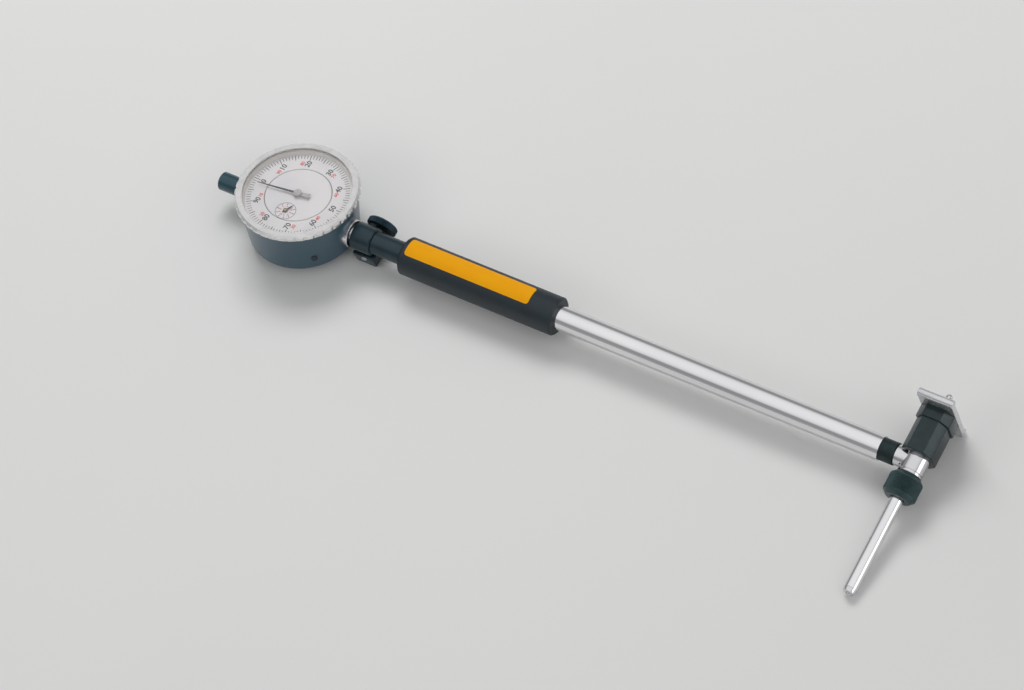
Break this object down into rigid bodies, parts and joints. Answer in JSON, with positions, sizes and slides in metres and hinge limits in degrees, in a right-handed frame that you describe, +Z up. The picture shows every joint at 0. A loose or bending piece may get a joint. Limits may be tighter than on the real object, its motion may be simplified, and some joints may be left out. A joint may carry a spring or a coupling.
{
  "type": "dial bore gauge",
  "caption": "Bore gauge with a scalloped dial indicator clamped on a gripped tube, a lever head, a sprung centring bridge and an exchangeable measuring rod.",
  "frame": {"origin": "centre of the gauge's bounding box in plan, on the surface that it lies on", "axes": "+X along the shaft from the dial to the measuring head, +Z up, +Y towards the side of the head with the moving anvil"},
  "size_m": [0.3684, 0.099, 0.0346],
  "materials": {
    "case_paint": "blue-grey paint",
    "satin_chrome": "satin chrome",
    "bright_chrome": "polished chrome",
    "steel": "ground steel",
    "hard_ball": "lapped hard metal",
    "black_metal": "black finish",
    "black_plastic": "moulded, fine grain",
    "teal_plastic": "moulded",
    "label": "printed foil",
    "dial_white": "matt white",
    "hand_black": "matt black",
    "clear": "clear acrylic",
    "brass": "machined brass",
    "carriage_black": "anodised black"
  },
  "bodies": {
    "gauge_body": {"clamp_neck": "black_metal", "grip": "black_plastic", "label": "label", "shaft_tube": "bright_chrome", "guide_bush_1": "brass", "guide_bush_2": "brass", "lock_ring": "black_metal", "head_body": "bright_chrome", "crank_pivot": "steel", "rod_anvil": "bright_chrome", "rod_anvil_ball": "hard_ball", "bridge_stop_pin": "steel", "bridge_spring": "steel", "push_rod_spring": "steel"},
    "indicator": {"indicator_case": "case_paint", "case_cover": "case_paint", "cover_screws": "steel", "case_side_screw": "steel", "stem": "bright_chrome", "plunger_cap": "teal_plastic", "cap_bush": "brass", "movement_plate_low": "brass", "movement_plate_top": "brass", "movement_pillars": "brass", "dial_centre": "dial_white"},
    "bezel_set": {"bezel": "satin_chrome", "crystal": "clear", "dial_scale_ring": "dial_white"},
    "hand_set": {"main_hand": "hand_black", "main_hand_hub": "steel", "centre_arbor": "steel"},
    "counter_set": {"counter_hand": "hand_black", "counter_wheel": "brass"},
    "rack_wheel_set": {"rack_wheel": "brass"},
    "plunger": {"plunger_rack": "steel", "contact_point": "hard_ball"},
    "shaft_rod": {"push_rod": "steel"},
    "lever": {"bell_crank": "steel"},
    "anvil": {"moving_anvil": "bright_chrome", "moving_anvil_ball": "hard_ball"},
    "bridge": {"bridge_plate": "satin_chrome", "bridge_carriage": "carriage_black", "bridge_screws": "steel"},
    "rod_nut": {"lock_nut": "black_metal"},
    "clamp": {"clamp_screw": "steel", "clamp_knob": "black_metal"}
  },
  "joints": [
    {"name": "indicator_swivel", "type": "hinge", "parent": "gauge_body", "child": "indicator", "pos_m": [-0.1052, 0.01589, 0.01321], "axis": [1, 0, 0], "range_deg": [-90, 90]},
    {"name": "bezel_turn", "type": "hinge", "parent": "indicator", "child": "bezel_set", "pos_m": [-0.1402, 0.01741, 0.02492], "axis": [0, 0.1286, 0.9917], "continuous": true},
    {"name": "clamp_screw_turn", "type": "hinge", "parent": "gauge_body", "child": "clamp", "pos_m": [-0.1041, 0.0169, 0.0071], "axis": [0, 0.9868, 0.1622], "range_deg": [0, 360]},
    {"name": "rod_nut_turn", "type": "hinge", "parent": "gauge_body", "child": "rod_nut", "pos_m": [0.1758, -0.00227, 0.01023], "axis": [0, 0.9868, 0.1622], "continuous": true},
    {"name": "bridge_slide", "type": "slide", "parent": "gauge_body", "child": "bridge", "axis": [0, -0.9868, -0.1622], "range_m": [0, 0.003], "stiffness_N_per_m": 800, "springref_m": -0.004, "deforming": ["bridge_spring"]},
    {"name": "anvil_slide", "type": "slide", "parent": "gauge_body", "child": "anvil", "axis": [0, -0.9868, -0.1622], "range_m": [0, 0.0012], "stiffness_N_per_m": 900, "springref_m": -0.002},
    {"name": "lever_turn", "type": "hinge", "parent": "gauge_body", "child": "lever", "pos_m": [0.1722, 0.01944, 0.0138], "axis": [0, 0.1622, -0.9868], "range_deg": [0, 19.3]},
    {"name": "push_rod_slide", "type": "slide", "parent": "gauge_body", "child": "shaft_rod", "axis": [-1, 0, 0], "range_m": [0, 0.00121], "deforming": ["push_rod_spring"]},
    {"name": "plunger_slide", "type": "slide", "parent": "indicator", "child": "plunger", "axis": [-1, 0, 0], "range_m": [0, 0.00121]},
    {"name": "rack_wheel_turn", "type": "hinge", "parent": "indicator", "child": "rack_wheel_set", "pos_m": [-0.15031, 0.01273, 0.01362], "axis": [0, 0.1286, 0.9917], "range_deg": [0, 44.2]},
    {"name": "main_hand_turn", "type": "hinge", "parent": "indicator", "child": "hand_set", "pos_m": [-0.1402, 0.01756, 0.02611], "axis": [0, 0.1286, 0.9917], "range_deg": [-434, 0]},
    {"name": "counter_hand_turn", "type": "hinge", "parent": "indicator", "child": "counter_set", "pos_m": [-0.1402, 0.00695, 0.02668], "axis": [0, 0.1286, 0.9917], "range_deg": [0, 44.2]}
  ],
  "couplings": [
    {"joint": "lever_turn", "follows": "anvil_slide", "rad_per_m": 277.78},
    {"joint": "push_rod_slide", "follows": "anvil_slide", "ratio": 1},
    {"joint": "plunger_slide", "follows": "anvil_slide", "ratio": 1},
    {"joint": "rack_wheel_turn", "follows": "anvil_slide", "rad_per_m": 628.32},
    {"joint": "main_hand_turn", "follows": "anvil_slide", "rad_per_m": -6283.2},
    {"joint": "counter_hand_turn", "follows": "anvil_slide", "rad_per_m": 628.32}
  ]
}
